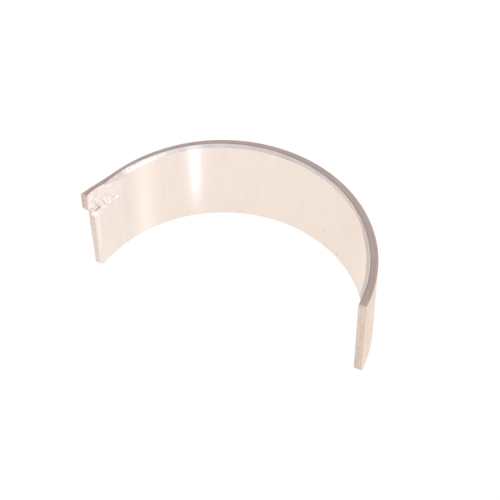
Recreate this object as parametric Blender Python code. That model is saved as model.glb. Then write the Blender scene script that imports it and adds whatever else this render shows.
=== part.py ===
# Half shell of a split plain bearing, for a connecting rod's big end.
# One bimetal strip, cut, bent to a half round and pressed: steel back, plain lining, a chamfer along
# both side edges, and a locating tang pressed out of the wall at one parting face.
# It stands on its lower side face, bore axis upright, crown towards +Y, tang end towards -X.
import math

import bmesh
import bpy
import numpy as np

MM = 0.001

# Wall and seat
HOUSING_BORE = 51.0 * MM        # diameter of the seat that the shell is pressed into
WALL = 1.55 * MM
WIDTH = 17.9 * MM               # along the bore axis
FREE_SPREAD = 1.52 * MM         # how far the free ends stand wider than the seat
CRUSH = 0.05 * MM               # outer length of the arc past a true half round

# Side edges
OUTER_EDGE = 0.06 * MM          # rounding of the steel back's edge at the upper side face
LOWER_EDGE = 0.15 * MM          # the same at the lower side face
LOWER_CHAMFER = 0.2 * MM        # bore chamfer at the lower side face, equal both ways
CHAMFER_IN_NARROW = 0.08 * MM   # bore chamfer at the upper side face, across the wall, plain end
CHAMFER_IN_WIDE = 0.95 * MM     # the same at the tang end: the chamfer is cut off centre
CHAMFER_DOWN_NARROW = 0.3 * MM  # the same chamfer along the bore, tang end
CHAMFER_DOWN_WIDE = 0.75 * MM   # along the bore, plain end
CHAMFER_GROWTH = 1.6            # how late along the arc the chamfer widens

# Parting faces
BEVEL_RUN = 0.95 * MM           # bevel along the bore edge of the tang end's parting face, at the tang
BEVEL_RUN_LOW = 0.43 * MM       # the same at the lower side face
BEVEL_DEPTH = 0.55 * MM         # its depth, into the wall
PLAIN_BEVEL = 0.12 * MM         # edge break at the bore edge of the plain end's parting face
CORNER_BREAK = 0.3 * MM         # break of the lower corner of both parting faces, equal both ways
RELIEF_LENGTH = 6.0 * MM        # crush relief, where the bore eases back near each parting face
RELIEF_DEPTH = 0.02 * MM

# Locating tang, pressed out from the bore at the upper side of one parting face
TANG_WIDTH = 4.0 * MM           # along the bore axis, measured outside
TANG_HEIGHT = 1.52 * MM         # above the steel back, at the parting face
TANG_RUN = 8.0 * MM             # along the arc, to where the back is plain again
TANG_FADE = 2.7                 # how hollow the ramp on the back is
TANG_EDGE = 0.35 * MM           # rounding of its upper edge at the parting face
TANG_EDGE_RUN = 2.0 * MM        # along the arc, to where that edge is as sharp as elsewhere
TANG_FILLET = 1.35 * MM         # between the tang's underside and the back
FILLET_FADE = 2.0               # how hollow that fillet is
RECESS_DEPTH = 1.68 * MM        # into the wall, at the parting face
RECESS_RUN = 6.5 * MM           # along the arc, to where the lining is plain again
RECESS_FULLNESS = 1.7           # how long the floor stays deep
RECESS_LANDING = 0.35           # share of the depth over which the floor eases into the lining
LEDGE_EDGE = 4.7 * MM           # from the upper side face to the sheared edge of the recess
LEDGE_RISE = 0.4 * MM           # how much nearer that edge comes along the arc
LEDGE_RISE_RUN = 3.5 * MM       # along the arc, to where it has done so
LEDGE_LEAN = 0.55 * MM          # from the recess's floor down to that edge
LEDGE_CURVE = 4.0               # how late the ledge turns in under the floor
END_FLARE = 0.25 * MM           # how far pressing drags the wall out beside the tang
FLARE_RUN = 3.4 * MM            # along the arc, to where that has faded

# Facets
PLAIN_ROWS = 5                  # rows of points along a plain stretch of a section
CURVE_ROWS = 6                  # rows across the tang's fillet, and down the recess's lower wall
BEVEL_STATIONS = 5              # sections across the bevel
PRESSED_STATIONS = 14           # sections along the rest of the pressed stretch
PLAIN_STEP = math.radians(3.0)  # between sections along the plain stretch

COLOUR = (0.80, 0.72, 0.66, 1.0)
ROUGHNESS = 0.34
METALLIC = 1.0


def free_arc():
    # The outer arc keeps its pressed-in length while the ends spring apart: find the angle by which
    # each end stops short of a half round, then the free outer radius.
    length = math.pi * HOUSING_BORE / 2 + CRUSH
    low, high = -0.2, 0.6
    for _ in range(60):
        short = (low + high) / 2
        radius = length / (math.pi - 2 * short)
        if 2 * radius * math.cos(short) < HOUSING_BORE + FREE_SPREAD:
            low = short
        else:
            high = short
    return short, radius


END_ANGLE, OUTER_RADIUS = free_arc()
BORE_RADIUS = OUTER_RADIUS - WALL
ARC_ANGLE = math.pi - 2 * END_ANGLE
ARC_LENGTH = ARC_ANGLE * BORE_RADIUS


def fade(distance, run, power=1.0):
    # 1 where a run starts, 0 once it is over
    return min(1.0, max(0.0, 1.0 - distance / run)) ** power


def ease(value):
    # smooth step from 0 to 1
    value = min(1.0, max(0.0, value))
    return value * value * (3.0 - 2.0 * value)


def landing(left, soft):
    # a straight ramp that lands softly, with left of it still to go
    left = max(0.0, left)
    return left * left / (2 * soft) if left < soft else left - soft / 2


def upper_chamfer(arc):
    # across the wall and down the bore, at a distance along the arc from the tang end
    share = fade(arc, ARC_LENGTH, CHAMFER_GROWTH)
    across = CHAMFER_IN_NARROW + (CHAMFER_IN_WIDE - CHAMFER_IN_NARROW) * share
    down = CHAMFER_DOWN_WIDE + (CHAMFER_DOWN_NARROW - CHAMFER_DOWN_WIDE) * share
    return across, down


def ledge_edge(arc):
    # where the recess's sheared edge lies, below the upper side face
    return LEDGE_EDGE - LEDGE_RISE * (1.0 - fade(arc, LEDGE_RISE_RUN))


def beside_tang(arc, below):
    # 1 beside the tang, 0 at the lower side face
    edge = ledge_edge(arc)
    return fade(below - edge, WIDTH - edge)


def flare(arc, below):
    # the wall beside the tang leans out with it, less and less towards the lower side face
    return END_FLARE * beside_tang(arc, below) * fade(arc, FLARE_RUN, 2.0)


def bevel(arc, below):
    # on the bore side of the tang end's parting face, from the flared wall to an even depth
    run = BEVEL_RUN_LOW + (BEVEL_RUN - BEVEL_RUN_LOW) * beside_tang(arc, below)
    return (BEVEL_DEPTH - flare(0.0, below)) * fade(arc, run)


def relief(arc):
    nearest = min(arc, ARC_LENGTH - arc)
    return RELIEF_DEPTH * ease(fade(nearest, RELIEF_LENGTH))


def recess_floor(arc):
    left = 1.0 - (arc / RECESS_RUN) ** RECESS_FULLNESS
    return RECESS_DEPTH * landing(left, RECESS_LANDING) / (1.0 - RECESS_LANDING / 2)


def bore_offset(arc, below):
    # how far the bore side lies outside the plain bore radius
    beside = max(flare(arc, below) + bevel(arc, below), relief(arc))
    share = min(1.0, max(0.0, 1.0 - (ledge_edge(arc) - below) / LEDGE_LEAN))
    inside = 1.0 - share ** LEDGE_CURVE
    edge_break = PLAIN_BEVEL * fade(ARC_LENGTH - arc, PLAIN_BEVEL)
    return max(recess_floor(arc), beside) * inside + beside * (1.0 - inside) + edge_break


def back_offset(arc, below):
    # how far the back lies outside the plain outer radius
    ramp = fade(arc, TANG_RUN, TANG_FADE)
    inside = fade(below - TANG_WIDTH, TANG_FILLET, FILLET_FADE)
    return max(TANG_HEIGHT * ramp * inside, flare(arc, below))


def section(arc):
    # One closed section at a distance along the arc from the tang end, as (radius, height) points:
    # up the back, over the upper side face, down the bore and back along the lower side face.
    across, down = upper_chamfer(arc)
    lift = CORNER_BREAK * fade(min(arc, ARC_LENGTH - arc), CORNER_BREAK)
    upper_edge = OUTER_EDGE + (TANG_EDGE - OUTER_EDGE) * fade(arc, TANG_EDGE_RUN)
    points = []

    def back(below, inset=0.0):
        radius = OUTER_RADIUS + back_offset(arc, below) - inset
        points.append((radius, max(lift, WIDTH - below)))

    def bore(below, chamfer=0.0):
        offset = max(bore_offset(arc, below), chamfer)
        points.append((BORE_RADIUS + offset, max(lift, WIDTH - below)))

    rounded = 1 - math.sqrt(0.5)
    back(WIDTH, LOWER_EDGE)
    back(WIDTH - LOWER_EDGE * rounded, LOWER_EDGE * rounded)
    back(WIDTH - LOWER_EDGE)
    for below in np.linspace(WIDTH - LOWER_EDGE, TANG_WIDTH + TANG_FILLET, PLAIN_ROWS)[1:]:
        back(below)
    for below in np.linspace(TANG_WIDTH + TANG_FILLET, TANG_WIDTH, CURVE_ROWS)[1:]:
        back(below)
    back(TANG_WIDTH / 2)
    back(upper_edge)
    back(upper_edge * rounded, upper_edge * rounded)
    back(0.0, upper_edge)
    bore(0.0, across)
    bore(down)
    edge = ledge_edge(arc)
    bore((down + edge - LEDGE_LEAN) / 2)
    for share in np.linspace(0.0, 1.0, CURVE_ROWS) ** 0.6:
        bore(edge - LEDGE_LEAN * (1.0 - share))
    for below in np.linspace(edge, WIDTH - LOWER_CHAMFER, PLAIN_ROWS)[1:]:
        bore(below)
    bore(WIDTH, LOWER_CHAMFER + bore_offset(arc, WIDTH))
    return points


def stations():
    # dense across the bevel and along the pressed stretch, then even steps to the plain end
    across_bevel = [0.0, *np.linspace(CORNER_BREAK, BEVEL_RUN, BEVEL_STATIONS)]
    pressed_end = max(RECESS_RUN, TANG_RUN)
    dense = np.linspace(BEVEL_RUN, pressed_end, PRESSED_STATIONS)[1:]
    plain_end = ARC_LENGTH - CORNER_BREAK
    steps = math.ceil((plain_end - pressed_end) / BORE_RADIUS / PLAIN_STEP)
    plain = np.linspace(pressed_end, plain_end, steps + 1)[1:]
    return [*across_bevel, *dense, *plain, ARC_LENGTH - PLAIN_BEVEL, ARC_LENGTH]


def place(bm, arc):
    # the section's points in the bent strip, with the tang end at -X
    angle = math.pi - END_ANGLE - arc / BORE_RADIUS
    return [
        bm.verts.new((radius * math.cos(angle), radius * math.sin(angle), height))
        for radius, height in section(arc)
    ]


def bearing_shell():
    bm = bmesh.new()
    loops = [place(bm, arc) for arc in stations()]
    for loop, following in zip(loops, loops[1:]):
        for i in range(len(loop)):
            j = (i + 1) % len(loop)
            bm.faces.new((loop[i], loop[j], following[j], following[i]))
    bm.faces.new(reversed(loops[0]))
    bm.faces.new(loops[-1])
    bmesh.ops.dissolve_limit(bm, angle_limit=math.radians(0.02), verts=bm.verts, edges=bm.edges)
    bmesh.ops.triangulate(bm, faces=bm.faces, quad_method="BEAUTY", ngon_method="EAR_CLIP")
    bmesh.ops.recalc_face_normals(bm, faces=bm.faces)

    # the origin is the middle of the footprint, on the lower side face
    corners = np.array([vert.co for vert in bm.verts])
    middle = (corners.min(axis=0) + corners.max(axis=0)) / 2
    bmesh.ops.translate(bm, verts=bm.verts, vec=(-middle[0], -middle[1], 0.0))

    mesh = bpy.data.meshes.new("bearing_shell")
    bm.to_mesh(mesh)
    bm.free()
    mesh.shade_smooth()
    mesh.set_sharp_from_angle(angle=math.radians(25))
    shell = bpy.data.objects.new("bearing_shell", mesh)
    bpy.context.scene.collection.objects.link(shell)
    return shell


def bright_metal():
    material = bpy.data.materials.new("bearing_metal")
    material.use_nodes = True
    shader = material.node_tree.nodes["Principled BSDF"]
    shader.inputs["Base Color"].default_value = COLOUR
    shader.inputs["Roughness"].default_value = ROUGHNESS
    shader.inputs["Metallic"].default_value = METALLIC
    return material


for old in list(bpy.data.objects):
    bpy.data.objects.remove(old, do_unlink=True)

bearing_shell().data.materials.append(bright_metal())
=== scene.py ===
import math

import bmesh
import bpy
import numpy as np
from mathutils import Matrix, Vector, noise


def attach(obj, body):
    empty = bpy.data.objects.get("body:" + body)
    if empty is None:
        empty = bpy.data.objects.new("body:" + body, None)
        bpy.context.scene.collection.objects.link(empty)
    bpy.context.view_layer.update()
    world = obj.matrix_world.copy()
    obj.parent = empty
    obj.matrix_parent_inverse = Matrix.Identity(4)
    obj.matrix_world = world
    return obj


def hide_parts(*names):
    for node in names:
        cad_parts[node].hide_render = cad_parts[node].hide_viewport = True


# The dressed look of a bearing half shell: a bent strip with a stamped locating tang, plated steel
# back, fine-bored lining and cut edges, on a pale floor in a soft studio.

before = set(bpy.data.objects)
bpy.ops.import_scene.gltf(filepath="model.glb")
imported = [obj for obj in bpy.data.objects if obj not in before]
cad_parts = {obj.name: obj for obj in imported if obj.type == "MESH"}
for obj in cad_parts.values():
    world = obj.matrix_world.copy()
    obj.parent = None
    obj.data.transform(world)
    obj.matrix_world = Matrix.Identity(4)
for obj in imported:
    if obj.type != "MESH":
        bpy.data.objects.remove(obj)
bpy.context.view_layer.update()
print("frame loaded:", ", ".join(sorted(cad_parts)))

mm = 0.001


# The bent strip. Distances called arc run along the strip from the tang end, at the bore radius,
# and distances called below run down from the upper side face.
shell = {
    "name": "half_shell",
    "housingBore": 51.0 * mm,
    "wall": 1.55 * mm,
    "width": 17.9 * mm,
    "freeSpread": 1.52 * mm,
    "crush": 0.05 * mm,
    "edgeRound": 0.05 * mm,       # along the steel back's upper edge
    "lowerEdge": 0.15 * mm,       # along its lower edge
    "endRound": 0.05 * mm,        # round each parting face
    "cornerBreak": 0.3 * mm,      # at the lower corner of each parting face
    "lowerChamfer": 0.2 * mm,
    "chamferRound": 0.05 * mm,    # where the upper chamfer meets the bore and the side face
    "chamferIn": (0.13 * mm, 1.0 * mm),     # across the wall: plain end, tang end
    "chamferDown": (0.65 * mm, 0.27 * mm),  # along the bore: plain end, tang end
    "chamferGrowth": 1.6,         # over 1, most of the change is near the tang end
    "bevelRun": (0.43 * mm, 0.95 * mm),     # at the lower side face, beside the tang
    "bevelDepth": 0.55 * mm,
    "plainBevel": 0.04 * mm,
    "reliefLength": 6.0 * mm,
    "reliefDepth": 0.02 * mm,
    "sharpAngle": 35.0,           # edges that turn by more degrees than this look sharp
}

# The locating tang, pressed out from the bore at the upper side of one parting face
tang = {
    "width": 3.9 * mm,
    "height": 1.52 * mm,
    "run": 8.0 * mm,
    "hollow": 2.7,
    "edgeRound": 0.35 * mm,       # of its upper edge at the parting face
    "edgeRun": 2.0 * mm,
    "fillet": 0.7 * mm,
    "filletHollow": 4.0,
    "recessDepth": 1.68 * mm,
    "recessRun": 6.5 * mm,
    "recessFullness": 1.7,
    "recessLanding": 0.35,        # share of the depth over which the floor eases into the lining
    # the torn edge of the recess in mm: arc, then the distance below the upper side face
    "tornLine": [(0.0, 4.7), (0.8, 4.8), (1.3, 4.97), (1.9, 4.8), (2.3, 4.55), (2.9, 4.75),
                 (3.2, 4.42), (3.5, 4.35), (4.2, 4.6), (4.7, 4.35), (5.7, 4.33), (6.6, 4.3)],
    "tear": 0.05 * mm,            # how ragged that edge is besides
    "tearWaves": 3.0,             # per millimetre
    "tearSeed": 9.0,
    "ledgeLean": 0.6 * mm,
    "ledgeCurve": 6.0,
    "flare": 0.25 * mm,           # how far the wall beside the tang is dragged out
    "flareRun": 3.4 * mm,
}


def freeArc():
    # the arc keeps its pressed-in length while the ends spring apart
    length = math.pi * shell["housingBore"] / 2 + shell["crush"]
    low, high = -0.2, 0.6                                    # how short of a half turn, in radians
    for step in range(60):
        short = (low + high) / 2
        radius = length / (math.pi - 2 * short)
        if 2 * radius * math.cos(short) < shell["housingBore"] + shell["freeSpread"]:
            low = short
        else:
            high = short
    return short, radius


endAngle, outerRadius = freeArc()
boreRadius = outerRadius - shell["wall"]
arcLength = (math.pi - 2 * endAngle) * boreRadius


def fade(distance, run, power=1.0):
    return min(1.0, max(0.0, 1.0 - distance / run)) ** power


def ease(value):
    value = min(1.0, max(0.0, value))
    return value * value * (3.0 - 2.0 * value)


def landing(left, soft):
    # a straight ramp that lands softly, with left of it still to go
    left = max(0.0, left)
    return left * left / (2 * soft) if left < soft else left - soft / 2


def upperChamfer(arc):
    share = fade(arc, arcLength, shell["chamferGrowth"])
    narrowIn, wideIn = shell["chamferIn"]
    deepDown, shallowDown = shell["chamferDown"]
    return narrowIn + (wideIn - narrowIn) * share, deepDown + (shallowDown - deepDown) * share


def traced(pairs, arc):
    # a value given at some arcs in mm, straight between them
    arcs, values = zip(*pairs)
    return float(np.interp(arc / mm, arcs, values))


def ledgeEdge(arc):
    # torn rather than cut, so it wanders
    ragged = noise.noise((arc / mm * tang["tearWaves"], 0.0, tang["tearSeed"]))
    return traced(tang["tornLine"], arc) * mm + tang["tear"] * ragged * ease(arc / mm)


def ledgeShare(arc, below):
    # 0 over the ledge, 1 at its sheared edge and below
    return min(1.0, max(0.0, 1.0 - (ledgeEdge(arc) - below) / tang["ledgeLean"]))


def besideTang(arc, below):
    edge = ledgeEdge(arc)
    return fade(below - edge, shell["width"] - edge)


def endFlare(arc, below):
    return tang["flare"] * besideTang(arc, below) * fade(arc, tang["flareRun"], 2.0)


def bevel(arc, below):
    low, high = shell["bevelRun"]
    run = low + (high - low) * besideTang(arc, below)
    return (shell["bevelDepth"] - endFlare(0.0, below)) * fade(arc, run)


def recessFloor(arc):
    soft = tang["recessLanding"]
    left = 1.0 - (arc / tang["recessRun"]) ** tang["recessFullness"]
    return tang["recessDepth"] * landing(left, soft) / (1.0 - soft / 2)


def boreOffset(arc, below):
    relief = shell["reliefDepth"] * ease(fade(min(arc, arcLength - arc), shell["reliefLength"]))
    beside = max(endFlare(arc, below) + bevel(arc, below), relief)
    inside = 1.0 - ledgeShare(arc, below) ** tang["ledgeCurve"]
    edgeBreak = shell["plainBevel"] * fade(arcLength - arc, shell["plainBevel"])
    return max(recessFloor(arc), beside) * inside + beside * (1.0 - inside) + edgeBreak


def backOffset(arc, below):
    ramp = fade(arc, tang["run"], tang["hollow"])
    inside = fade(below - tang["width"], tang["fillet"], tang["filletHollow"])
    return max(tang["height"] * ramp * inside, endFlare(arc, below))


# Where the strip is worn, dirty and torn, and where shade and highlights are painted on it, in
# the same distances
wearAndPaintedLight = {
    "smearEnd": 8.9 * mm,         # up to here pressing the tang has smeared the chamfer
    # how bright the chamfer is worn, at arcs in mm, with a painted highlight rising from 7.2 to
    # 8.8 and held to 12.0, and another at 20.6 to 21.6
    "chamferRubAndHighlight": [(7.2, 0.0), (8.8, 1.0), (12.0, 1.0), (13.0, 0.62), (16.5, 0.5), (19.0, 0.4),
                   (20.6, 0.85), (21.6, 0.85), (23.0, 0.3), (30.0, 0.22), (49.0, 0.22),
                   (54.0, 0.6), (58.0, 0.4), (64.0, 0.22)],
    # painted shade on it grows toward the plain end, in two steps: amount, start, run
    "chamferDarkening": [(0.3, 25.0 * mm, 15.0 * mm), (0.7, 52.0 * mm, 14.0 * mm)],
    "upperDarkening": 0.6,             # share of that painted shade along its upper edge
    "chamferSpot": {"arc": 10.35 * mm, "reach": 0.4 * mm, "amount": 0.9},
    # the dark line along the upper side face's bore edge: full beside the recess, then growing
    # from the least toward the plain end
    "rim": {"end": 6.0 * mm, "endRun": 3.0 * mm, "least": 0.3, "growth": 0.45, "run": 40.0 * mm},
    # bright on the bevel where it is deep, and on the lining round the recess
    "bright": {"bevel": 0.12 * mm, "besidePower": 0.25,
               "amount": 0.7, "end": 7.5 * mm, "endRun": 2.5 * mm},
    "specks": [(46.3, 13.4), (46.6, 17.4), (50.1, 16.8)],     # on the lining: arc, below in mm
    "speckReach": 0.5,
    "speckAmount": 0.45,
    # painted shade on the lining where it curls away toward the plain end, leaning from both
    # its edges
    "dull": {"start": 62.5 * mm, "end": 69.0 * mm, "startRun": 2.0 * mm, "endRun": 5.0 * mm,
             "upperStart": 56.5 * mm, "upperLean": 1.8, "lowerFrom": 9.0 * mm, "lowerLean": 0.3},
    # in the recess, with share as 0 at the top of the ledge and 1 at its torn edge: painted shade
    # along a crease that breaks up and stops, a short line of it above, painted shade low near the
    # parting face, and the torn metal painted white as a highlight
    "crease": {"share": 0.76, "reach": 0.2, "power": 0.4, "breaks": 2.0 * mm, "breakRun": 0.5 * mm,
               "waves": 1.7, "seed": 6.0, "contrast": 4.0, "brokenAmount": 0.7,
               "stops": 5.2 * mm, "stopRun": 1.0 * mm},
    "shortCrease": {"share": 0.4, "reach": 0.12, "amount": 0.7,
                    "stops": 1.2 * mm, "stopRun": 1.0 * mm},
    # painted shade low in the recess near the parting face
    "pocketShadeAndTone": {"top": 1.8 * mm, "topRun": 1.2 * mm, "end": 2.5 * mm, "endRun": 2.5 * mm},
    # the torn metal at the ledge's edge is painted white as a highlight
    "tornAndHighlight": {"share": 0.86, "run": 0.04, "fullDepth": 0.4 * mm},    # less where it is shallower
    "endRub": (0.7, 0.4),         # the parting faces: tang end, plain end
    "tangEndDirt": 0.5,
    "endBands": (0.85 * mm, 1.7 * mm),      # dark, across the tang's end
    "endBandReach": 0.3 * mm,
}


def specked(arc, below):
    away = min(math.dist(speck, (arc / mm, below / mm)) for speck in wearAndPaintedLight["specks"])
    return wearAndPaintedLight["speckAmount"] * fade(away, wearAndPaintedLight["speckReach"])


def dulled(arc, below):
    # the painted shade starts sooner beside the chamfer and toward the lower edge
    dull = wearAndPaintedLight["dull"]
    start = min(dull["start"], dull["upperStart"] + dull["upperLean"] * below)
    start -= dull["lowerLean"] * max(0.0, below - dull["lowerFrom"])
    begun = ease((arc - start + dull["startRun"] / 2) / dull["startRun"])
    return begun * (1.0 - ease((arc - dull["end"]) / dull["endRun"]))


def brightened(arc, below):
    bright = wearAndPaintedLight["bright"]
    beside = besideTang(arc, below) ** bright["besidePower"]
    bevelled = min(1.0, bevel(arc, below) / bright["bevel"]) * beside
    return max(bevelled, bright["amount"] * (1.0 - ease((arc - bright["end"]) / bright["endRun"])))


def pocketMarks(arc, below):
    # painted shade along a crease that breaks up along the ledge, and a short line of it above;
    # painted shade low in the recess, eased into the lining's tone where it is shallow; and the
    # torn edge painted white as a highlight
    crease, short = wearAndPaintedLight["crease"], wearAndPaintedLight["shortCrease"]
    pocketShadeAndTone, tornAndHighlight = wearAndPaintedLight["pocketShadeAndTone"], wearAndPaintedLight["tornAndHighlight"]
    share = ledgeShare(arc, below)
    deep = min(1.0, recessFloor(arc) / tornAndHighlight["fullDepth"])
    whole = 1.0 - ease((arc - crease["breaks"]) / crease["breakRun"])
    patches = noise.noise((arc / mm * crease["waves"], 0.0, crease["seed"])) * crease["contrast"]
    broken = ease(patches) * (1.0 - ease((arc - crease["stops"]) / crease["stopRun"]))
    dark = fade(abs(share - crease["share"]), crease["reach"], crease["power"])
    dark *= max(whole, crease["brokenAmount"] * broken)
    above = short["amount"] * fade(abs(share - short["share"]), short["reach"])
    above *= 1.0 - ease((arc - short["stops"]) / short["stopRun"])
    lowShade = ease((below - pocketShadeAndTone["top"]) / pocketShadeAndTone["topRun"])
    lowShade *= 1.0 - ease((arc - pocketShadeAndTone["end"]) / pocketShadeAndTone["endRun"])
    return {"tornAndHighlight": deep * ease((share - tornAndHighlight["share"]) / tornAndHighlight["run"]),
            "grime": min(1.0, max(dark, above)), "pocketShadeAndTone": max(lowShade, 1.0 - deep)}


def rimDirt(arc):
    rim = wearAndPaintedLight["rim"]
    growing = rim["least"] + rim["growth"] * ease(arc / rim["run"])
    return max(1.0 - ease((arc - rim["end"]) / rim["endRun"]), growing)


def chamferDarkening(arc):
    # painted shade toward the plain end along its upper edge, with the dark spot, and along its
    # lower one
    plainEndShade = sum(amount * ease((arc - start) / run) for amount, start, run in wearAndPaintedLight["chamferDarkening"])
    spot = wearAndPaintedLight["chamferSpot"]
    spotted = spot["amount"] * fade(abs(arc - spot["arc"]), spot["reach"])
    return max(spotted, wearAndPaintedLight["upperDarkening"] * plainEndShade), plainEndShade


def partingMarks(arc, below):
    # the parting faces are bright, and the tang's own end is dirty with dark bands across it
    if arc == 0.0 and below < tang["width"]:
        bands = max(fade(abs(below - place), wearAndPaintedLight["endBandReach"]) for place in wearAndPaintedLight["endBands"])
        return {"grime": wearAndPaintedLight["tangEndDirt"] + (1.0 - wearAndPaintedLight["tangEndDirt"]) * bands}
    if arc in (0.0, arcLength):
        return {"rub": wearAndPaintedLight["endRub"][0 if arc == 0.0 else 1]}
    return {}


# How close together the points of the strip stand
spacing = {
    "plain": 0.45 * mm,           # between sections along the plain stretch
    "pressed": 0.12 * mm,         # between sections along the pressed stretch
    "pastPressed": 0.4 * mm,      # how far that goes on past the tang
    "row": 0.4 * mm,              # between rows up and down a section
    "filletRow": 0.08 * mm,       # between rows across the tang's fillet
    "tangRows": 9,                # down the tang's outside
    "pocketRows": 10,             # from the chamfer down to the ledge
    "aboveLedge": 0.3 * mm,       # where they end
    "ledgeRows": 14,
    "belowLedge": 0.1 * mm,       # where the rows down the bore start
    "boreFrom": 4.0 * mm,         # and what they are counted from
    "aboveLower": 0.25 * mm,      # where they end, over the lower chamfer
    "rimLine": 0.13 * mm,         # lines along both edges of the upper side face
}


def spaced(start, end, count):
    # evenly spaced values after start, up to end
    return [start + (end - start) * (i + 1) / count for i in range(count)]


def rows(start, end, step):
    return spaced(start, end, max(1, math.ceil(abs(end - start) / step)))


def roundedCorner(before, corner, after, size):
    # three points that turn a corner of the section, in place of the corner itself
    def toward(target):
        gap = math.hypot(target[0] - corner[0], target[1] - corner[1])
        share = min(0.45, size / max(gap, 1e-9))             # never past half of a short side
        return [corner[i] + (target[i] - corner[i]) * share for i in (0, 1)]

    first, last = toward(before), toward(after)
    middle = [(first[i] + 2 * corner[i] + last[i]) / 4 for i in (0, 1)]
    return [first, middle, last]


quarterTurn = [math.radians(angle) for angle in (0, 30, 60, 90)]

# the finish that each stretch of a section takes, and its material slot
finishes = ["back", "side", "chamfer", "smear", "bore", "pocket", "parting"]
(backFace, sideFace, chamferFace, smearFace,
 boreFace, pocketFace, partingFace) = range(len(finishes))

# what a point of the strip carries for its finish to show
markNames = ["rub", "grime", "dull", "pocketShadeAndTone", "tornAndHighlight"]


def section(arc, inset):
    # One closed section: up the back, over the upper side face, down the bore and home. A point
    # holds the finish of the stretch after it, how much a tool or handling brightens it or a
    # highlight is painted on it, how much dirt or painted shade it keeps, how much shade is
    # painted where the lining curls away or low in the recess, where the recess also eases into
    # the lining's tone, and how much freshly torn metal is painted white as a highlight.
    width, lowEdge = shell["width"], shell["lowerEdge"]
    rounder = tang["edgeRound"] - shell["edgeRound"]
    edge = shell["edgeRound"] + rounder * fade(arc, tang["edgeRun"])
    lift = shell["cornerBreak"] * fade(min(arc, arcLength - arc), shell["cornerBreak"])
    points = []

    def add(radius, height, finish, **marks):
        points.append({"radius": radius, "height": max(height, lift), "finish": finish, **marks})

    def back(below, pull=0.0, finish=backFace, **marks):
        add(outerRadius + backOffset(arc, below) - pull - inset, width - below, finish, **marks)

    def bore(below, finish=boreFace, grime=0.0, **marks):
        add(boreRadius + boreOffset(arc, below) + inset, width - below, finish,
            rub=brightened(arc, below), dull=dulled(arc, below),
            grime=max(grime, specked(arc, below)), **marks)

    def pocket(below):
        pressed = arc < tang["recessRun"] and ledgeShare(arc, below) < 1.0
        bore(below, pocketFace if pressed else boreFace, **pocketMarks(arc, below))

    for turn in quarterTurn:                                 # lower outer edge
        back(width - lowEdge * (1 - math.cos(turn)), lowEdge * (1 - math.sin(turn)), rub=1.0)
    filletFoot = tang["width"] + tang["fillet"]
    for below in rows(width - lowEdge, filletFoot, spacing["row"]):
        back(below)
    for below in rows(filletFoot, tang["width"], spacing["filletRow"]):
        back(below)
    for below in spaced(tang["width"], edge, spacing["tangRows"]):
        back(below)
    for turn in quarterTurn[1:]:                             # upper outer edge
        back(edge * (1 - math.sin(turn)), edge * (1 - math.cos(turn)), rub=1.0)
    points[-1].update(finish=sideFace)

    across, down = upperChamfer(arc)
    rimEdge = (boreRadius + max(boreOffset(arc, 0.0), across) + inset, width)
    foot = (boreRadius + boreOffset(arc, down) + inset, width - down)
    lower = (boreRadius + boreOffset(arc, down * 2) + inset, width - down * 2)
    outerSide = (points[-1]["radius"], width)

    # the upper side face, with its rows close together along both edges
    line = spacing["rimLine"]
    # its outer line is worn, and painted lighter as a highlight along the edge
    add(outerSide[0] - line, width, sideFace, rub=1.0)
    middle = (outerSide[0] + rimEdge[0]) / 2
    for radius in (outerSide[0] - 2 * line, middle, rimEdge[0] + 2.5 * line):
        add(radius, width, sideFace)
    add(rimEdge[0] + 1.2 * line, width, sideFace, grime=rimDirt(arc))

    # the chamfer, which the recess cuts through and the press has smeared beside it
    cutFace = chamferFace
    if arc < wearAndPaintedLight["smearEnd"]:
        cutFace = pocketFace if boreOffset(arc, 0.0) > across else smearFace
    # worn brightness of the chamfer, with painted highlights along part of it
    cutRubAndHighlight = traced(wearAndPaintedLight["chamferRubAndHighlight"], arc)
    # painted shade on the chamfer toward the plain end, and its dark spot
    upperDarkening, lowerShade = chamferDarkening(arc)
    for radius, height in roundedCorner(outerSide, rimEdge, foot, shell["chamferRound"]):
        add(radius, height, cutFace, rub=cutRubAndHighlight, grime=upperDarkening)
    points[-3].update(grime=rimDirt(arc), rub=0.0)
    for radius, height in roundedCorner(rimEdge, foot, lower, shell["chamferRound"]):
        add(radius, height, cutFace, rub=cutRubAndHighlight, grime=lowerShade)
    points[-1].update(finish=boreFace, grime=0.0, dull=dulled(arc, down))

    # the recess, where it is there, then the bore down to the lower chamfer
    floorEnd = min(tornAndHighlight for place, tornAndHighlight in tang["tornLine"]) * mm
    floorEnd = floorEnd - tang["ledgeLean"] - spacing["aboveLedge"]
    for below in spaced(down + 2 * shell["chamferRound"], floorEnd, spacing["pocketRows"]):
        pocket(below)
    edgeHere, lean = ledgeEdge(arc), tang["ledgeLean"]
    pocket((floorEnd + edgeHere - lean) / 2)
    for i in range(spacing["ledgeRows"] + 1):                # closest at the torn edge
        pocket(edgeHere - lean * (1.0 - (i / spacing["ledgeRows"]) ** 0.5))
    lowest = width - shell["lowerChamfer"]
    first = edgeHere + spacing["belowLedge"]
    count = math.ceil((lowest - spacing["boreFrom"]) / spacing["row"])
    for below in (first, *spaced(first, lowest - spacing["aboveLower"], count), lowest):
        bore(below)
    # a little painted shade along the lowest bore row, at the lower edge
    points[-1].update(finish=backFace, rub=0.0, grime=0.1)
    lowerFoot = boreRadius + boreOffset(arc, width) + inset
    add(lowerFoot + shell["lowerChamfer"], 0.0, sideFace, rub=0.5)
    return points


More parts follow.
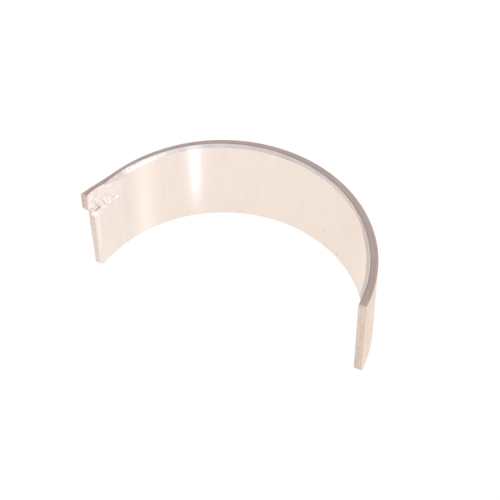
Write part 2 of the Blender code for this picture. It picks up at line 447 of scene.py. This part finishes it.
def stations():
    # (arc, inset) pairs: each end turns in over its rounding, the pressed stretch is dense
    size = shell["endRound"]
    ends = [(size * (1 - math.sin(turn)), size * (1 - math.cos(turn)))
            for turn in reversed(quarterTurn)]
    pressed = max(tang["run"], tang["recessRun"]) + spacing["pastPressed"]
    near = rows(size, shell["bevelRun"][1], spacing["pressed"] / 2)
    pocket = rows(shell["bevelRun"][1], pressed, spacing["pressed"])
    far = rows(pressed, arcLength - shell["cornerBreak"], spacing["plain"])
    last = rows(far[-1], arcLength - size, shell["plainBevel"] / 2)[:-1]
    pairs = list(ends)
    pairs += [(arc, 0.0) for arc in near + pocket + far + last]
    pairs += [(arcLength - arc, inset) for arc, inset in reversed(ends)]
    return pairs


def capFaces(loop):
    # triangles between the back and the bore of one end, from the lower side face up
    top = max(vert.co.z for vert in loop)
    peak = next(i for i, vert in enumerate(loop) if vert.co.z > top - 1e-7)
    back, bore = loop[:peak + 1], loop[:peak:-1]
    corners, i, j = [], 0, 0
    while i < len(back) - 1 or j < len(bore) - 1:
        boreNext = j < len(bore) - 1
        if boreNext and (i == len(back) - 1 or bore[j + 1].co.z <= back[i + 1].co.z + 1e-9):
            corners.append((back[i], bore[j + 1], bore[j]))
            j += 1
        else:
            corners.append((back[i], back[i + 1], bore[j]))
            i += 1
    return corners


def halfShell():
    bm = bmesh.new()
    stripMap = bm.loops.layers.uv.new("strip")
    layers = {mark: bm.verts.layers.float.new(mark) for mark in markNames}
    loops = []
    for arc, inset in sorted(stations()):
        angle = math.pi - endAngle - arc / boreRadius
        loop, along = [], 0.0
        points = section(arc, inset)
        before = points[0]
        for point in points:
            radius, height = point["radius"], point["height"]
            along += math.hypot(radius - before["radius"], height - before["height"])
            before = point
            vert = bm.verts.new((radius * math.cos(angle), radius * math.sin(angle), height))
            marks = {**point, **partingMarks(arc, shell["width"] - height)}
            for mark, layer in layers.items():
                vert[layer] = marks.get(mark, 0.0)
            loop.append((vert, arc / mm, along / mm, point["finish"]))
        closing = math.hypot(points[0]["radius"] - before["radius"],
                             points[0]["height"] - before["height"])
        loops.append((loop, (along + closing) / mm))

    for (loop, around), (following, aroundNext) in zip(loops, loops[1:]):
        for i in range(len(loop)):
            j = (i + 1) % len(loop)
            face = bm.faces.new((loop[i][0], loop[j][0], following[j][0], following[i][0]))
            face.smooth = True
            face.material_index = loop[i][3]
            ends = (loop[i], loop[j], following[j], following[i])
            for corner, point in zip(face.loops, ends):
                total = around if point in (loop[i], loop[j]) else aroundNext
                along = total if j == 0 and point[2] == 0.0 else point[2]
                corner[stripMap].uv = (point[1], along)
    for loop in (loops[0][0], loops[-1][0]):
        for corners in capFaces([point[0] for point in loop]):
            face = bm.faces.new(corners)
            face.material_index = partingFace
            for corner in face.loops:
                radius = math.hypot(corner.vert.co.x, corner.vert.co.y)
                corner[stripMap].uv = (corner.vert.co.z / mm, (radius - boreRadius) / mm)

    bmesh.ops.recalc_face_normals(bm, faces=bm.faces)

    corners = np.array([vert.co for vert in bm.verts])
    middle = (corners.min(axis=0) + corners.max(axis=0)) / 2
    bmesh.ops.translate(bm, verts=bm.verts, vec=(-middle[0], -middle[1], 0.0))
    mesh = bpy.data.meshes.new(shell["name"])
    bm.to_mesh(mesh)
    bm.free()
    mesh.set_sharp_from_angle(angle=math.radians(shell["sharpAngle"]))
    piece = bpy.data.objects.new(shell["name"], mesh)
    bpy.context.scene.collection.objects.link(piece)
    return piece


halfShellPiece = halfShell()
print("strip bent:", len(halfShellPiece.data.polygons), "faces")


# Node helpers
def put(tree, kind, **settings):
    node = tree.nodes.new(kind)
    for name, value in settings.items():
        setattr(node, name, value)
    return node


def fill(node, **values):
    for name, value in values.items():
        node.inputs[name.replace("_", " ")].default_value = value
    return node


def wire(tree, source, target):
    tree.links.new(source, target)


def newGroup(name, inputs, outputs):
    # inputs and outputs are (name, socket kind, default) rows
    group = bpy.data.node_groups.new(name, "ShaderNodeTree")
    for label, kind, value in inputs:
        socket = group.interface.new_socket(name=label, in_out="INPUT", socket_type=kind)
        if value is not None:
            socket.default_value = value
    for label, kind in outputs:
        group.interface.new_socket(name=label, in_out="OUTPUT", socket_type=kind)
    return group, put(group, "NodeGroupInput"), put(group, "NodeGroupOutput")


def grainGroup():
    # machining marks: fine lines drawn out one way, and broad cloudy shades
    group, given, result = newGroup(
        "stripGrain",
        [("Vector", "NodeSocketVector", None), ("Along", "NodeSocketFloat", 1.0),
         ("Across", "NodeSocketFloat", 1.0), ("Cloud", "NodeSocketFloat", 0.1)],
        [("Lines", "NodeSocketFloat"), ("Clouds", "NodeSocketFloat")])
    stretch = put(group, "ShaderNodeCombineXYZ")
    scaled = put(group, "ShaderNodeVectorMath", operation="MULTIPLY")
    wire(group, given.outputs["Along"], stretch.inputs["X"])
    wire(group, given.outputs["Across"], stretch.inputs["Y"])
    wire(group, given.outputs["Vector"], scaled.inputs[0])
    wire(group, stretch.outputs["Vector"], scaled.inputs[1])
    lines = put(group, "ShaderNodeTexNoise", noise_dimensions="2D")
    fill(lines, Scale=1.0, Detail=4.0, Roughness=0.6)
    wire(group, scaled.outputs["Vector"], lines.inputs["Vector"])
    clouds = put(group, "ShaderNodeTexNoise", noise_dimensions="2D")
    fill(clouds, Detail=2.0, Roughness=0.5)
    wire(group, given.outputs["Vector"], clouds.inputs["Vector"])
    wire(group, given.outputs["Cloud"], clouds.inputs["Scale"])
    for node, label in ((lines, "Lines"), (clouds, "Clouds")):
        spread = put(group, "ShaderNodeMapRange")
        fill(spread, From_Min=0.3, From_Max=0.7)
        wire(group, node.outputs["Fac"], spread.inputs["Value"])
        wire(group, spread.outputs["Result"], result.inputs[label])
    return group


def markGroup():
    # a mark that the strip's points carry, broken up; low is how much of it is left everywhere
    group, given, result = newGroup(
        "brokenMark",
        [("Vector", "NodeSocketVector", None), ("Mark", "NodeSocketFloat", 0.0),
         ("Scale", "NodeSocketFloat", 1.5), ("Amount", "NodeSocketFloat", 0.5),
         ("Low", "NodeSocketFloat", 0.0)],
        [("Mask", "NodeSocketFloat")])
    patches = put(group, "ShaderNodeTexNoise", noise_dimensions="2D")
    fill(patches, Detail=3.0, Roughness=0.6)
    wire(group, given.outputs["Vector"], patches.inputs["Vector"])
    wire(group, given.outputs["Scale"], patches.inputs["Scale"])
    broken = put(group, "ShaderNodeMapRange")
    fill(broken, From_Min=0.35, From_Max=0.6)
    wire(group, patches.outputs["Fac"], broken.inputs["Value"])
    wire(group, given.outputs["Low"], broken.inputs["To Min"])
    left = put(group, "ShaderNodeMath", operation="MULTIPLY")
    wire(group, broken.outputs["Result"], left.inputs[0])
    wire(group, given.outputs["Mark"], left.inputs[1])
    scaled = put(group, "ShaderNodeMath", operation="MULTIPLY", use_clamp=True)
    wire(group, left.outputs["Value"], scaled.inputs[0])
    wire(group, given.outputs["Amount"], scaled.inputs[1])
    wire(group, scaled.outputs["Value"], result.inputs["Mask"])
    return group


stripGrain = grainGroup()
brokenMark = markGroup()

# Each finish: light and dark lines and a cloudy shade, with along and across the lines per
# millimetre, how rough the light and the dark lines are, how far a highlight is drawn out and how
# it is turned, and the marks that its points carry, with low as how much of one is left everywhere
metals = {
    "back": {
        "name": "platedBack",
        "light": (0.89, 0.72, 0.59), "dark": (0.79, 0.61, 0.48), "shade": (0.82, 0.65, 0.52),
        "along": 1.5, "across": 0.12, "cloud": 0.15, "cloudiness": 0.3,
        "shine": (0.30, 0.42), "bump": 0.004 * mm, "anisotropic": 0.3, "turn": 0.0,
        "rub": {"colour": (0.93, 0.82, 0.72), "scale": 1.5, "amount": 0.5, "low": 0.2},
    },
    "side": {
        "name": "cutSide",
        "light": (0.55, 0.465, 0.445), "dark": (0.41, 0.325, 0.295), "shade": (0.475, 0.38, 0.345),
        "along": 0.15, "across": 5.0, "cloud": 0.3, "cloudiness": 0.3,
        "shine": (0.28, 0.40), "bump": 0.006 * mm, "anisotropic": 0.5, "turn": 0.0,
        # lightens the worn outer edges, with a painted highlight along the upper one
        "rub": {"colour": (0.64, 0.47, 0.36), "scale": 1.0, "amount": 0.6, "low": 0.4},
        "grime": {"colour": (0.29, 0.20, 0.17), "scale": 0.8, "amount": 0.8, "low": 0.5},
    },
    "chamfer": {
        "name": "cutChamfer",
        "light": (0.77, 0.70, 0.68), "dark": (0.62, 0.545, 0.52), "shade": (0.70, 0.61, 0.58),
        "along": 0.2, "across": 5.0, "cloud": 0.3, "cloudiness": 0.4,
        "shine": (0.15, 0.24), "bump": 0.006 * mm, "anisotropic": 0.3, "turn": 0.0,
        # worn bright, and painted highlights along part of the chamfer
        "rub": {"colour": (0.96, 0.93, 0.92), "scale": 0.6, "amount": 1.25, "low": 0.5},
        # the dark spot, and painted shade toward the plain end
        "grime": {"colour": (0.40, 0.345, 0.335), "scale": 0.7, "amount": 0.75, "low": 0.5},
    },
    "smear": {
        "name": "smearedChamfer",
        "light": (0.84, 0.76, 0.74), "dark": (0.73, 0.64, 0.62), "shade": (0.79, 0.69, 0.66),
        "along": 0.6, "across": 2.0, "cloud": 0.6, "cloudiness": 0.6,
        "shine": (0.60, 0.75), "bump": 0.006 * mm, "anisotropic": 0.0, "turn": 0.0,
        # a painted highlight rising toward the end of the smeared stretch
        "rub": {"colour": (1.0, 0.99, 0.99), "scale": 1.5, "amount": 1.2, "low": 0.3},
    },
    "bore": {
        "name": "boredLining",
        "light": (1.0, 0.878, 0.785), "dark": (0.985, 0.842, 0.75), "shade": (0.98, 0.85, 0.762),
        "along": 3.0, "across": 0.12, "cloud": 0.12, "cloudiness": 0.4,
        "shine": (0.29, 0.33), "bump": 0.001 * mm, "anisotropic": 1.0, "turn": 0.25,
        "rub": {"colour": (1.0, 0.93, 0.87), "scale": 1.5, "amount": 0.7, "low": 0.4},
        # dirt specks, and a little painted shade along the lower edge
        "grime": {"colour": (0.15, 0.12, 0.15), "scale": 1.3, "amount": 0.6, "low": 0.9},
        # painted shade where the lining curls away
        "dull": {"colour": (0.58, 0.50, 0.455), "scale": 1.0, "amount": 1.0, "low": 0.97},
    },
    "pocket": {
        "name": "stampedPocket",
        "light": (1.0, 0.93, 0.87), "dark": (0.97, 0.86, 0.79), "shade": (0.91, 0.76, 0.69),
        "along": 1.0, "across": 1.6, "cloud": 0.8, "cloudiness": 0.8,
        "shine": (0.26, 0.40), "bump": 0.02 * mm, "anisotropic": 0.2, "turn": 0.0,
        # painted shade along the crease
        "grime": {"colour": (0.09, 0.08, 0.14), "scale": 1.3, "amount": 1.0, "low": 0.7},
        # painted shade low in the recess, and the lining's tone where the recess is shallow
        "pocketShadeAndTone": {"colour": (0.92, 0.82, 0.765), "scale": 0.9, "amount": 0.9, "low": 0.6},
        # the torn metal, painted white as a highlight
        "tornAndHighlight": {"colour": (1.0, 1.0, 1.0), "scale": 1.6, "amount": 1.6, "low": 0.8},
    },
    "parting": {
        "name": "cutParting",
        "light": (0.73, 0.60, 0.51), "dark": (0.50, 0.39, 0.32), "shade": (0.62, 0.49, 0.41),
        "along": 0.15, "across": 4.0, "cloud": 0.3, "cloudiness": 0.4,
        "shine": (0.32, 0.42), "bump": 0.006 * mm, "anisotropic": 0.4, "turn": 0.0,
        "rub": {"colour": (0.90, 0.76, 0.67), "scale": 1.5, "amount": 1.1, "low": 0.6},
        "grime": {"colour": (0.42, 0.30, 0.24), "scale": 1.8, "amount": 0.6, "low": 0.35},
    },
}


def mixed(tree, factor, first, second):
    # a Mix node takes its colours at sockets 6 and 7 and gives one at socket 2
    node = put(tree, "ShaderNodeMix", data_type="RGBA")
    wire(tree, factor, node.inputs["Factor"])
    for value, target in ((first, node.inputs[6]), (second, node.inputs[7])):
        if isinstance(value, tuple):
            target.default_value = (*value, 1.0)
        else:
            wire(tree, value, target)
    return node.outputs[2]


def cutMetal(look):
    material = bpy.data.materials.new(look["name"])
    material.use_nodes = True
    tree = material.node_tree
    shader = tree.nodes["Principled BSDF"]
    place = put(tree, "ShaderNodeUVMap", uv_map="strip")
    grain = put(tree, "ShaderNodeGroup", node_tree=stripGrain)
    fill(grain, Along=look["along"], Across=look["across"], Cloud=look["cloud"])
    wire(tree, place.outputs["UV"], grain.inputs["Vector"])
    lined = mixed(tree, grain.outputs["Lines"], look["dark"], look["light"])
    cloudy = put(tree, "ShaderNodeMath", operation="MULTIPLY")
    cloudy.inputs[1].default_value = look["cloudiness"]
    wire(tree, grain.outputs["Clouds"], cloudy.inputs[0])
    colour = mixed(tree, cloudy.outputs["Value"], lined, look["shade"])

    # what the strip's points carry, each broken up so that no line is even
    for mark in markNames:
        if mark not in look:
            continue
        carried = put(tree, "ShaderNodeAttribute", attribute_name=mark)
        broken = put(tree, "ShaderNodeGroup", node_tree=brokenMark)
        fill(broken, Scale=look[mark]["scale"], Amount=look[mark]["amount"],
             Low=look[mark]["low"])
        wire(tree, place.outputs["UV"], broken.inputs["Vector"])
        wire(tree, carried.outputs["Fac"], broken.inputs["Mark"])
        colour = mixed(tree, broken.outputs["Mask"], colour, look[mark]["colour"])
    wire(tree, colour, shader.inputs["Base Color"])

    shine = put(tree, "ShaderNodeMapRange")
    fill(shine, To_Min=look["shine"][1], To_Max=look["shine"][0])
    wire(tree, grain.outputs["Lines"], shine.inputs["Value"])
    wire(tree, shine.outputs["Result"], shader.inputs["Roughness"])
    bump = put(tree, "ShaderNodeBump")
    fill(bump, Strength=1.0, Distance=look["bump"])
    wire(tree, grain.outputs["Lines"], bump.inputs["Height"])
    wire(tree, bump.outputs["Normal"], shader.inputs["Normal"])
    direction = put(tree, "ShaderNodeTangent", direction_type="UV_MAP", uv_map="strip")
    wire(tree, direction.outputs["Tangent"], shader.inputs["Tangent"])
    fill(shader, Metallic=1.0, Anisotropic=look["anisotropic"], Anisotropic_Rotation=look["turn"])
    return material


for finish in finishes:
    halfShellPiece.data.materials.append(cutMetal(metals[finish]))
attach(halfShellPiece, "root")
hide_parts("bearing_shell")
print("finishes laid on:", ", ".join(finishes))


# Floor, soft lamps and sky. The picture shows plain white all round.
studio = {
    "floorSize": 6.0,
    "floorDrop": 0.02 * mm,       # keeps it clear of the lower side face
    "floorColour": (0.90, 0.90, 0.90),
    "white": 1.07,                # what the camera and the metal see of the floor
    "whiteShare": 0.85,           # the rest is the lit floor, which keeps the shadow
    "skyLow": (1.0, 1.0, 1.0),
    "skyHigh": (0.92, 0.91, 0.91),
    "skyTurn": (0.02, 0.35),      # from low to high, by how far up a ray points
    "lamps": [
        {"name": "window", "place": (0.227, 0.083, 0.494), "aim": (0.0, 0.0, 0.01),
         "power": 0.075, "colour": (1.0, 1.0, 1.0), "size": 0.15},
        {"name": "glow", "place": (0.433, -0.060, 0.25), "aim": (0.0, 0.0, 0.01),
         "power": 0.18, "colour": (1.0, 0.98, 0.97), "size": 0.13},
    ],
    # narrow upright beams on the lining, with narrow as the share of the cone across
    "beams": [
        {"name": "streak", "place": (0.193, -0.209, 0.036), "aim": (-0.0147, 0.0056, 0.0179),
         "power": 1.65, "colour": (0.59, 0.75, 1.0), "cone": 7.1, "narrow": 0.04, "blend": 0.6},
        {"name": "band", "place": (0.433, -0.060, 0.25), "aim": (-0.0212, -0.0024, 0.0089),
         "power": 0.75, "colour": (0.9, 0.95, 1.0), "cone": 6.0, "narrow": 0.07, "blend": 0.3},
        {"name": "ledgeLight", "place": (0.256, 0.196, 0.373), "aim": (-0.0242, -0.0100, 0.0137),
         "power": 1.15, "colour": (0.86, 0.94, 1.0), "cone": 1.2, "narrow": 1.0, "blend": 0.8},
    ],
    "beamRadius": 0.003,
}


def paleFloor():
    mesh = bpy.data.meshes.new("paleFloor")
    half = studio["floorSize"] / 2
    mesh.from_pydata([(-half, -half, 0), (half, -half, 0), (half, half, 0), (-half, half, 0)],
                     [], [(0, 1, 2, 3)])
    floor = bpy.data.objects.new("pale_floor", mesh)
    bpy.context.scene.collection.objects.link(floor)
    floor.location.z = -studio["floorDrop"]
    material = bpy.data.materials.new("paleFloor")
    material.use_nodes = True
    tree = material.node_tree
    shader = tree.nodes["Principled BSDF"]
    fill(shader, Base_Color=(*studio["floorColour"], 1.0), Roughness=0.7)
    glow = put(tree, "ShaderNodeEmission")
    fill(glow, Strength=studio["white"])
    rays = put(tree, "ShaderNodeLightPath")
    seen = put(tree, "ShaderNodeMath", operation="MAXIMUM")
    wire(tree, rays.outputs["Is Camera Ray"], seen.inputs[0])
    wire(tree, rays.outputs["Is Glossy Ray"], seen.inputs[1])
    through = put(tree, "ShaderNodeMath", operation="MAXIMUM")
    wire(tree, seen.outputs["Value"], through.inputs[0])
    wire(tree, rays.outputs["Is Transmission Ray"], through.inputs[1])
    share = put(tree, "ShaderNodeMath", operation="MULTIPLY")
    share.inputs[1].default_value = studio["whiteShare"]
    wire(tree, through.outputs["Value"], share.inputs[0])
    both = put(tree, "ShaderNodeMixShader")
    wire(tree, share.outputs["Value"], both.inputs["Fac"])
    wire(tree, shader.outputs["BSDF"], both.inputs[1])
    wire(tree, glow.outputs["Emission"], both.inputs[2])
    wire(tree, both.outputs["Shader"], tree.nodes["Material Output"].inputs["Surface"])
    mesh.materials.append(material)


def softSky():
    # white for the camera; for the metal, white near the horizon and a greyer ceiling
    world = bpy.data.worlds.new("softSky")
    bpy.context.scene.world = world
    world.use_nodes = True
    tree = world.node_tree
    sky = tree.nodes["Background"]
    place = put(tree, "ShaderNodeTexCoord")
    parts = put(tree, "ShaderNodeSeparateXYZ")
    wire(tree, place.outputs["Generated"], parts.inputs["Vector"])
    height = put(tree, "ShaderNodeMapRange", interpolation_type="SMOOTHSTEP")
    fill(height, From_Min=studio["skyTurn"][0], From_Max=studio["skyTurn"][1])
    wire(tree, parts.outputs["Z"], height.inputs["Value"])
    dome = mixed(tree, height.outputs["Result"], studio["skyLow"], studio["skyHigh"])
    rays = put(tree, "ShaderNodeLightPath")
    colour = mixed(tree, rays.outputs["Is Camera Ray"], dome, (1.0, 1.0, 1.0))
    wire(tree, colour, sky.inputs["Color"])


def stand(lamp, data):
    piece = bpy.data.objects.new(lamp["name"], data)
    piece.location = lamp["place"]
    back = piece.location - Vector(lamp["aim"])
    piece.rotation_euler = back.to_track_quat("Z", "Y").to_euler()
    bpy.context.scene.collection.objects.link(piece)
    return piece


def softLamps():
    for lamp in studio["lamps"]:
        data = bpy.data.lights.new(lamp["name"], "AREA")
        data.shape = "DISK"
        data.size = lamp["size"]
        data.energy = lamp["power"]
        data.color = lamp["colour"]
        stand(lamp, data)


def narrowBeams():
    for beam in studio["beams"]:
        data = bpy.data.lights.new(beam["name"], "SPOT")
        data.energy = beam["power"]
        data.color = beam["colour"]
        data.shadow_soft_size = studio["beamRadius"]
        data.spot_size = math.radians(beam["cone"])
        data.spot_blend = beam["blend"]
        stand(beam, data).scale.x = beam["narrow"]


paleFloor()
softSky()
softLamps()
narrowBeams()
print("studio lit:", len(studio["lamps"]) + len(studio["beams"]), "lamps")


# The camera stands over the open side and looks down past the tang end
camera = {
    "place": (84.249 * mm, -162.452 * mm, 225.03 * mm),
    "turn": (39.626, 0.225, 27.360),      # degrees
    "lens": 116.46,
    "sensor": 36.0,
    "clip": (0.01, 20.0),
}
cameraData = bpy.data.cameras.new("pictureCamera")
cameraData.lens = camera["lens"]
cameraData.sensor_width = camera["sensor"]
cameraData.clip_start, cameraData.clip_end = camera["clip"]
pictureCamera = bpy.data.objects.new("pictureCamera", cameraData)
pictureCamera.location = camera["place"]
pictureCamera.rotation_euler = [math.radians(angle) for angle in camera["turn"]]
bpy.context.scene.collection.objects.link(pictureCamera)
bpy.context.scene.camera = pictureCamera
bpy.context.scene.view_settings.view_transform = "Standard"
print("camera set")

bpy.context.view_layer.update()
